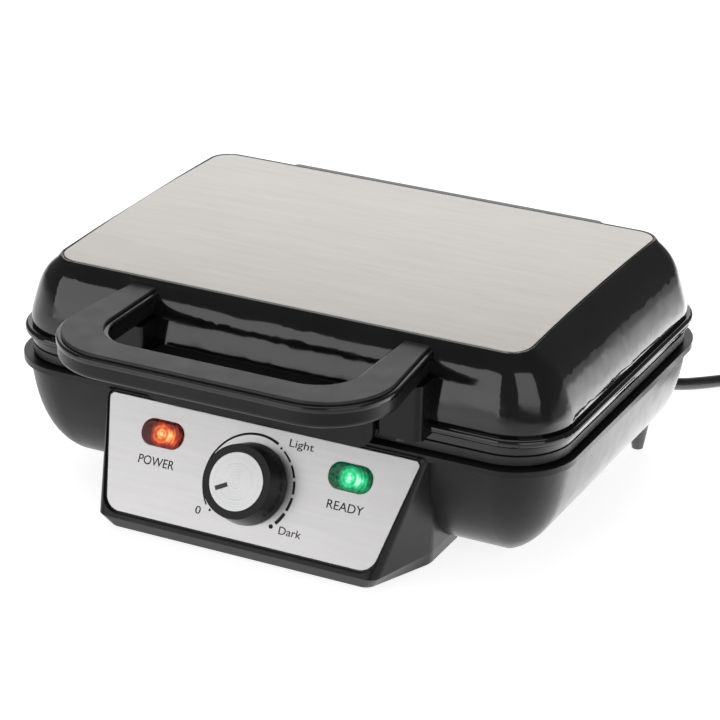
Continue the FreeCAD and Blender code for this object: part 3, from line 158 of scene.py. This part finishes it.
class Look:
    """A material, with short calls for the nodes that its texture needs."""

    def __init__(self, name, **sockets):
        self.material = bpy.data.materials.new(name)
        self.material.use_nodes = True
        self.tree = self.material.node_tree
        self.shader = self.tree.nodes["Principled BSDF"]
        for socket, value in sockets.items():
            self.shader.inputs[socket.replace("_", " ")].default_value = value

    def node(self, kind, *links, **settings):
        """A new node; links fill its inputs in order, as sockets or as plain values."""
        made = self.tree.nodes.new(kind)
        for key, value in settings.items():
            setattr(made, key, value)
        for place, link in enumerate(links):
            if link is None:
                continue
            if isinstance(link, bpy.types.NodeSocket):
                self.tree.links.new(link, made.inputs[place])
            else:
                made.inputs[place].default_value = link
        return made

    def math(self, operation, *values):
        return self.node("ShaderNodeMath", *values, operation=operation).outputs[0]

    def length(self, one, two):
        """The length of the vector (one, two)."""
        squares = self.math("ADD", self.math("MULTIPLY", one, one), self.math("MULTIPLY", two, two))
        return self.math("SQRT", squares)

    def place(self, scale=(1, 1, 1)):
        """Object coordinates in millimetres, stretched by scale."""
        source = self.node("ShaderNodeTexCoord").outputs["Object"]
        mapping = self.node("ShaderNodeMapping", source)
        mapping.inputs["Scale"].default_value = [s / MM for s in scale]
        return mapping.outputs[0]

    def noise(self, size, stretch=(1, 1, 1), detail=3.0, rough=0.5):
        """Noise with features about size millimetres across, divided by stretch on each axis."""
        where = self.place([s / size for s in stretch])
        made = self.node("ShaderNodeTexNoise", where)
        made.inputs["Scale"].default_value = 1.0
        made.inputs["Detail"].default_value = detail
        made.inputs["Roughness"].default_value = rough
        return made.outputs["Fac"]

    def spread(self, fac, low, high, start=0.3, end=0.7):
        """fac between start and end becomes a number between low and high."""
        made = self.node("ShaderNodeMapRange", fac, start, end, low, high)
        return made.outputs[0]

    def ramp(self, fac, *stops):
        """A colour ramp: stops are (position, (r, g, b))."""
        made = self.node("ShaderNodeValToRGB", fac)
        elements = made.color_ramp.elements
        while len(elements) < len(stops):
            elements.new(0.5)
        for element, (position, colour) in zip(elements, stops):
            element.position = position
            element.color = (*colour, 1)
        return made.outputs[0]

    def bump(self, height, depth, strength=1.0, under=None):
        """Bump from height, depth in millimetres."""
        made = self.node("ShaderNodeBump")
        made.inputs["Strength"].default_value = strength
        made.inputs["Distance"].default_value = depth * MM
        self.tree.links.new(height, made.inputs["Height"])
        if under is not None:
            self.tree.links.new(under, made.inputs["Normal"])
        return made.outputs[0]

    def rounded(self, radius):
        """Normals that round the sharp edges, radius in millimetres."""
        return self.node("ShaderNodeBevel", radius * MM, samples=6).outputs[0]

    def feed(self, **sockets):
        for socket, source in sockets.items():
            self.tree.links.new(source, self.shader.inputs[socket.replace("_", " ")])
        return self


def moulded(name, dark, light, rough, grain=0.35, depth=0.01, patch=25, edge=0.0, **sockets):
    """A moulded plastic or rubber: faint cloudy colour, uneven gloss and a fine grain."""
    look = Look(name, **sockets)
    under = look.rounded(edge) if edge else None
    cloud = look.noise(patch, detail=4)
    fine = look.noise(grain, detail=2)
    look.feed(
        Base_Color=look.ramp(cloud, (0.35, dark), (0.65, light)),
        Roughness=look.spread(look.noise(patch * 0.4, detail=5), rough[0], rough[1]),
        Normal=look.bump(fine, depth, under=under),
    )
    return look.material


def brushed(name, dark, light, rough, line=0.22, length=60, depth=0.004, **sockets):
    """Metal brushed along X: long thin lines in colour, gloss and relief."""
    look = Look(name, Metallic=1.0, **sockets)
    stretch = (line / length, 1, 1)
    lines = look.noise(line, stretch, detail=4, rough=0.65)
    broad = look.noise(line * 14, (line / length * 3, 1, 1), detail=3)
    mixed = look.math("ADD", look.math("MULTIPLY", lines, 0.65), look.math("MULTIPLY", broad, 0.35))
    look.feed(
        Base_Color=look.ramp(mixed, (0.32, dark), (0.68, light)),
        Roughness=look.spread(lines, rough[0], rough[1]),
        Normal=look.bump(lines, depth, under=look.rounded(0.6)),
    )
    return look.material


def metal(name, dark, light, rough, grain=0.8, depth=0.01, patch=12, **sockets):
    """Plain metal: cloudy colour, uneven gloss and a fine relief."""
    return moulded(name, dark, light, rough, grain, depth, patch, 0.0, Metallic=1.0, **sockets)


# --------------------------------------------------------------------------- panel frame

PANEL_TILT = math.radians(61.5)
PANEL_ORIGIN = Vector((0, -91.6, 37.5)) * MM
PANEL_UP = Vector((0, math.cos(PANEL_TILT), math.sin(PANEL_TILT)))
PANEL_OUT = Vector((0, -math.sin(PANEL_TILT), math.cos(PANEL_TILT)))
PANEL_TURN = Matrix((Vector((1, 0, 0)), PANEL_UP, PANEL_OUT)).transposed()
DIAL_MIDDLE = (0, -0.7)


def on_panel(x, y, out=0.0):
    """A point in front of the panel; x, y and out in millimetres."""
    return PANEL_ORIGIN + Vector((x * MM, 0, 0)) + PANEL_UP * (y * MM) + PANEL_OUT * (out * MM)


# --------------------------------------------------------------------------- special looks

def panel_distance(look, x, y):
    """Sockets for the distances across and up the panel from (x, y) on it, in millimetres."""
    source = look.node("ShaderNodeTexCoord").outputs["Object"]
    middle = on_panel(x, y)
    offset = look.node("ShaderNodeVectorMath", source, tuple(middle), operation="SUBTRACT").outputs[0]
    across = look.node("ShaderNodeVectorMath", offset, (1 / MM, 0, 0), operation="DOT_PRODUCT")
    upward = look.node("ShaderNodeVectorMath", offset, tuple(PANEL_UP / MM), operation="DOT_PRODUCT")
    return across.outputs["Value"], upward.outputs["Value"]


def lens(name, x, y, deep, middle, bright, core):
    """A lit moulded lens about (x, y) on the panel, in four colours from its dark ends to its core.

    The parts of its light are added up: a glow in the middle and one beside it, a bright edge
    round the middle one, fine rings, the sparkle of its facets and shade towards its left end.
    """
    look = Look(name, Roughness=0.10, Specular_IOR_Level=0.25, Emission_Strength=1.0)
    across, upward = panel_distance(look, x, y)

    def radius(shift_x, shift_y):
        dx = look.math("SUBTRACT", across, shift_x)
        dy = look.math("SUBTRACT", upward, shift_y)
        return look.length(dx, dy)

    main = radius(0.2, -0.3)
    side = radius(5.2, -0.8)
    glow = look.spread(main, 0.92, 0.0, 0.0, 7.2)
    edge = look.spread(look.math("ABSOLUTE", look.math("SUBTRACT", main, 4.6)), 0.24, 0.0, 0.0, 0.7)
    beside = look.spread(side, 0.74, 0.0, 1.2, 6.2)
    shade = look.spread(across, -0.16, 0.0, -9.0, -3.0)
    rings = look.math("MULTIPLY", look.math("SINE", look.math("MULTIPLY", main, 3.6)), 0.07)
    facets = look.node("ShaderNodeTexVoronoi", look.place((0.42, 0.42, 0.42)))
    facets.inputs["Scale"].default_value = 1.0
    sparkle = look.spread(facets.outputs["Distance"], -0.10, 0.14, 0.1, 0.9)
    total = look.math("MAXIMUM", glow, beside)
    for part in (edge, rings, sparkle, shade):
        total = look.math("ADD", total, part)
    colour = look.ramp(total, (0.0, deep), (0.34, middle), (0.66, bright), (0.92, core))
    look.feed(
        Emission_Color=colour,
        Base_Color=look.ramp(total, (0.0, deep), (1.0, middle)),
        Normal=look.bump(facets.outputs["Distance"], 0.25, 0.5),
    )
    return look.material


def turned(name, x, y):
    """Turned aluminium: fine rings about the dial's middle."""
    look = Look(name, Metallic=1.0)
    across, upward = panel_distance(look, x, y)
    radius = look.length(across, upward)
    vector = look.node("ShaderNodeCombineXYZ", radius, 0.0, 0.0).outputs[0]
    fine = look.node("ShaderNodeTexNoise", vector)
    fine.inputs["Scale"].default_value = 3.2
    fine.inputs["Detail"].default_value = 5.0
    rings = fine.outputs["Fac"]
    look.feed(
        Base_Color=look.ramp(rings, (0.35, (0.40, 0.40, 0.405)), (0.65, (0.62, 0.62, 0.62))),
        Roughness=look.spread(rings, 0.22, 0.38),
        Normal=look.bump(rings, 0.05, under=look.rounded(0.4)),
    )
    return look.material


# --------------------------------------------------------------------------- looks by slot

# Colours run from the darker to the lighter cloud, and gloss from the smoother to the rougher.
BLACK = (0.0035, 0.0035, 0.0037)
INK = (0.006, 0.006, 0.0062)
LOOKS = {
    "lid_gloss": moulded("lid_gloss", BLACK, INK, (0.07, 0.11), 0.9, 0.0008, edge=0.3,
                         Specular_IOR_Level=0.62),
    "handle_gloss": moulded("handle_gloss", BLACK, INK, (0.10, 0.16), 0.9, 0.002, edge=1.4,
                            Specular_IOR_Level=0.5),
    "handle_satin": moulded("handle_satin", (0.016, 0.016, 0.0165), (0.021, 0.021, 0.0215),
                            (0.40, 0.47), 0.3, 0.012, edge=0.5),
    "handle_matte": moulded("handle_matte", (0.006, 0.006, 0.0065), (0.010, 0.010, 0.0105),
                            (0.30, 0.38), 0.3, 0.008, edge=0.6, Specular_IOR_Level=0.22),
    "base_satin": moulded("base_satin", (0.008, 0.008, 0.008), (0.012, 0.012, 0.0117),
                          (0.30, 0.36), 0.3, 0.008, edge=0.6, Specular_IOR_Level=0.25),
    "hinge_black": moulded("hinge_black", (0.012, 0.012, 0.012), (0.020, 0.020, 0.020),
                           (0.35, 0.50), 0.5, 0.03),
    "lid_steel": brushed("lid_steel", (0.455, 0.436, 0.413), (0.565, 0.546, 0.518), (0.30, 0.40),
                         line=0.26, length=9),
    "panel_steel": brushed("panel_steel", (0.51, 0.502, 0.502), (0.59, 0.582, 0.582),
                           (0.32, 0.42), line=0.16, length=7),
    "knob_black": moulded("knob_black", BLACK, BLACK, (0.22, 0.30), 0.5, 0.003, edge=0.5,
                          Specular_IOR_Level=0.22),
    "knob_aluminium": turned("knob_aluminium", *DIAL_MIDDLE),
    "pointer_black": moulded("pointer_black", BLACK, INK, (0.25, 0.35), 0.3, 0.004),
    "lens_red": lens("lens_red", -52.7, 13.8, (0.035, 0.002, 0.001), (0.30, 0.016, 0.004),
                     (0.85, 0.20, 0.03), (1.0, 0.80, 0.34)),
    "lens_green": lens("lens_green", 52.7, 13.8, (0.0, 0.045, 0.018), (0.0, 0.25, 0.09),
                       (0.03, 0.70, 0.28), (0.62, 1.0, 0.80)),
    "lamp": moulded("lamp", (0.80, 0.72, 0.60), (0.92, 0.86, 0.75), (0.08, 0.15), 1.0, 0.01,
                    Transmission_Weight=0.4),
    "nonstick": moulded("nonstick", (0.012, 0.012, 0.012), (0.020, 0.020, 0.019),
                        (0.34, 0.44), 0.4, 0.02, Specular_IOR_Level=0.6),
    "heater_steel": metal("heater_steel", (0.16, 0.15, 0.14), (0.28, 0.26, 0.24), (0.40, 0.60)),
    "reflector_metal": metal("reflector_metal", (0.60, 0.60, 0.61), (0.75, 0.75, 0.76),
                             (0.28, 0.42)),
    "thermostat_case": moulded("thermostat_case", (0.36, 0.31, 0.24), (0.46, 0.41, 0.33),
                               (0.45, 0.60), 0.6, 0.04),
    "terminal_white": moulded("terminal_white", (0.70, 0.68, 0.62), (0.80, 0.78, 0.72),
                              (0.35, 0.50), 0.6, 0.03),
    "plated_steel": metal("plated_steel", (0.50, 0.50, 0.49), (0.66, 0.66, 0.66), (0.18, 0.32)),
    "foot_rubber": moulded("foot_rubber", (0.010, 0.010, 0.010), (0.018, 0.018, 0.018),
                           (0.50, 0.65), 0.4, 0.03),
    "cord_black": moulded("cord_black", (0.009, 0.009, 0.009), (0.015, 0.015, 0.015),
                          (0.30, 0.42), 0.5, 0.015),
    "tie_black": moulded("tie_black", (0.012, 0.012, 0.012), (0.020, 0.020, 0.020),
                         (0.40, 0.50), 0.4, 0.02),
    "pin_nickel": metal("pin_nickel", (0.58, 0.56, 0.52), (0.72, 0.70, 0.66), (0.15, 0.26)),
    "rim_matte": moulded("rim_matte", (0.016, 0.016, 0.0165), (0.024, 0.024, 0.0245),
                         (0.42, 0.55), 0.45, 0.05),
    "ink": moulded("ink", (0.008, 0.008, 0.009), (0.014, 0.014, 0.015), (0.55, 0.65), 0.2, 0.003,
                   Specular_IOR_Level=0.2),
    "bracket_gloss": moulded("bracket_gloss", BLACK, INK, (0.22, 0.30), 0.5, 0.004, edge=0.8,
                             Specular_IOR_Level=0.25),
}
OTHER_LOOKS = {"base_rim": "rim_matte", "handle_brackets": "bracket_gloss"}


def dress(obj, look):
    """Puts one look on every material slot of an object."""
    if not obj.material_slots:
        obj.data.materials.append(LOOKS[look])
    for slot in obj.material_slots:
        slot.material = LOOKS[look]


def even_shading(obj):
    """Joins the mesh's split vertices and weighs its normals by area, for clean reflections."""
    weld = obj.modifiers.new("weld", "WELD")
    weld.merge_threshold = 0.000002
    even = obj.modifiers.new("even", "WEIGHTED_NORMAL")
    even.mode = "FACE_AREA_WITH_ANGLE"
    even.keep_sharp = True


for subpart in frame["record"]["subparts"]:
    node = subpart["node"]
    dress(NODES[node], OTHER_LOOKS.get(node, subpart["material_slot"]))
dress(CORD, "cord_black")
for node in ("lid_shell", "handle_trim", "base_shell"):
    even_shading(NODES[node])


# --------------------------------------------------------------------------- marks on the panel

MARK_THICK = 0.07    # how far the ink stands out of the panel, in millimetres


def slab(name, outlines):
    """Thin printed marks, one for each closed list of (x, y) on the panel, in millimetres."""
    mesh = bmesh.new()
    for outline in outlines:
        low = [mesh.verts.new(on_panel(x, y, -0.02)) for x, y in outline]
        high = [mesh.verts.new(on_panel(x, y, MARK_THICK)) for x, y in outline]
        count = len(outline)
        for one in range(count):
            two = (one + 1) % count
            mesh.faces.new((low[one], low[two], high[two], high[one]))
        mesh.faces.new(high)
        mesh.faces.new(list(reversed(low)))
    bmesh.ops.recalc_face_normals(mesh, faces=mesh.faces[:])
    data = bpy.data.meshes.new(name)
    mesh.to_mesh(data)
    mesh.free()
    made = bpy.data.objects.new(name, data)
    bpy.context.scene.collection.objects.link(made)
    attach(made, "base")
    dress(made, "ink")
    return made


def around(radius, degrees):
    """The point of the panel at this distance and angle from the dial's middle."""
    angle = math.radians(degrees)
    return (DIAL_MIDDLE[0] + radius * math.cos(angle), DIAL_MIDDLE[1] + radius * math.sin(angle))


def arc_quads(radius, start, end, wide_start, wide_end, steps):
    """A bent stripe about the dial, from start to end degrees, its width changing on the way."""
    outer, inner = [], []
    for step in range(steps + 1):
        share = step / steps
        degrees = start + (end - start) * share
        half = (wide_start + (wide_end - wide_start) * share) / 2
        outer.append(around(radius + half, degrees))
        inner.append(around(radius - half, degrees))
    return outer + inner[::-1]


def spot(x, y, radius, sides=16):
    """A round dot's outline."""
    turns = [2 * math.pi * side / sides for side in range(sides)]
    return [(x + radius * math.cos(turn), y + radius * math.sin(turn)) for turn in turns]


def add_scale():
    """The dial's scale: a thin line that grows, five growing dashes and three dots."""
    marks = [arc_quads(25.1, 216, 150, 0.7, 0.9, 20), arc_quads(25.0, 150, 64, 0.9, 1.4, 28)]
    dashes = ((53, 38, 0.9), (34, 19, 1.05), (15, 0, 1.2), (-4, -20, 1.4), (-24, -40, 1.7))
    for start, end, wide in dashes:
        marks.append(arc_quads(24.6, start, end, wide, wide + 0.1, 8))
    for degrees, radius in ((223.7, 0.65), (58, 0.65), (-46.5, 1.15)):
        marks.append(spot(*around(24.5, degrees), radius))
    slab("dial_scale", marks)


def add_text(name, words, x, y, height, width):
    """One printed word, its middle at (x, y) on the panel, in millimetres."""
    curve = bpy.data.curves.new(name, "FONT")
    curve.body = words
    curve.align_x = "CENTER"
    curve.align_y = "CENTER"
    curve.size = height * MM / 0.7
    curve.offset = 0.00002
    curve.extrude = MARK_THICK / 2 * MM
    curve.resolution_u = 6
    made = bpy.data.objects.new(name, curve)
    bpy.context.scene.collection.objects.link(made)
    bpy.context.view_layer.update()
    stretch = width * MM / made.dimensions.x
    shape = Matrix.Diagonal((stretch, 1, 1, 1))
    made.matrix_world = Matrix.Translation(on_panel(x, y, MARK_THICK / 2)) @ PANEL_TURN.to_4x4() @ shape
    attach(made, "base")
    dress(made, "ink")


add_scale()
add_text("word_power", "POWER", -52.9, -0.9, 4.5, 20.3)
add_text("word_ready", "READY", 53.2, -1.2, 4.4, 19.8)
add_text("word_light", "Light", 23.2, 23.6, 3.9, 13.5)
add_text("word_dark", "Dark", 27.4, -19.5, 3.9, 12.3)
add_text("word_zero", "0", -24.0, -19.2, 3.9, 2.9)


# --------------------------------------------------------------------------- studio

GLOW_SEEN = 0.80     # the floor's glow as the camera sees it
GLOW_LEFT = 0.85     # and as the object sees it: left of it, then right of it in front and behind
GLOW_FRONT = 0.35
GLOW_REAR = 3.4
ROOM_GREY = 0.16
OBJECT_MIDDLE = (0, 0, 0.07)


def add_floor():
    """A wide white floor that glows, so that no shadow on it is dark.

    The camera sees one even glow. The object is lit and mirrored by a glow that is stronger
    behind its right side and fades with distance.
    """
    mesh = bmesh.new()
    bmesh.ops.create_grid(mesh, x_segments=4, y_segments=4, size=6.0)
    data = bpy.data.meshes.new("floor")
    mesh.to_mesh(data)
    mesh.free()
    floor = bpy.data.objects.new("floor", data)
    floor.location = (0, 0, -0.0002)
    bpy.context.scene.collection.objects.link(floor)
    look = Look("floor", Roughness=0.9, Emission_Color=(1, 1, 1, 1))
    place = look.node("ShaderNodeTexCoord").outputs["Object"]
    away = look.node("ShaderNodeVectorMath", place, operation="LENGTH").outputs["Value"]
    along = look.node("ShaderNodeSeparateXYZ", place)

    def slope(fac, start, end, low, high):
        """A smooth change from low to high while fac goes from start to end."""
        return look.node("ShaderNodeMapRange", fac, start, end, low, high,
                         interpolation_type="SMOOTHSTEP").outputs[0]

    rear = slope(along.outputs["Y"], -0.20, 0.15, GLOW_FRONT, GLOW_REAR)
    side = slope(along.outputs["X"], -0.10, 0.25, 0.0, 1.0)
    level = look.spread(side, GLOW_LEFT, rear, 0.0, 1.0)
    bounced = look.math("MULTIPLY", level, slope(away, 0.30, 1.3, 1.0, 0.10))
    seen = look.node("ShaderNodeLightPath").outputs["Is Camera Ray"]
    look.feed(
        Emission_Strength=look.spread(seen, bounced, GLOW_SEEN, 0.0, 1.0),
        Base_Color=look.ramp(look.noise(40, detail=2), (0.3, (0.80, 0.80, 0.80)),
                             (0.7, (0.84, 0.84, 0.84))),
    )
    data.materials.append(look.material)


def soft_box(name, place, aim, size, radiance):
    """A rectangular lamp at place that faces aim; size in metres."""
    data = bpy.data.lights.new(name, "AREA")
    data.shape = "RECTANGLE"
    data.size, data.size_y = size
    data.energy = radiance * math.pi * size[0] * size[1]
    lamp = bpy.data.objects.new(name, data)
    lamp.location = place
    lamp.rotation_euler = (Vector(aim) - Vector(place)).to_track_quat("-Z", "Y").to_euler()
    bpy.context.scene.collection.objects.link(lamp)


def add_world():
    """White behind the object, and a dim grey room for what it reflects."""
    world = bpy.data.worlds.new("studio")
    world.use_nodes = True
    tree = world.node_tree
    back = tree.nodes["Background"]
    seen = tree.nodes.new("ShaderNodeLightPath")
    mix = tree.nodes.new("ShaderNodeMapRange")
    mix.inputs["To Min"].default_value = ROOM_GREY
    mix.inputs["To Max"].default_value = 1.0
    tree.links.new(seen.outputs["Is Camera Ray"], mix.inputs["Value"])
    tree.links.new(mix.outputs[0], back.inputs["Strength"])
    back.inputs["Color"].default_value = (1, 1, 1, 1)
    bpy.context.scene.world = world


add_floor()
add_world()
soft_box("overhead", (-0.10, 0.10, 1.40), OBJECT_MIDDLE, (1.3, 1.1), 1.1)
soft_box("back_box", (-0.62, 1.25, 0.62), OBJECT_MIDDLE, (1.5, 0.9), 1.25)
soft_box("front_box", (-0.50, -0.98, 0.30), (0, 0, 0.20), (1.0, 0.62), 1.7)
soft_box("right_box", (0.98, -0.80, 0.52), OBJECT_MIDDLE, (0.95, 0.85), 1.5)
bpy.context.scene.view_settings.view_transform = "Standard"
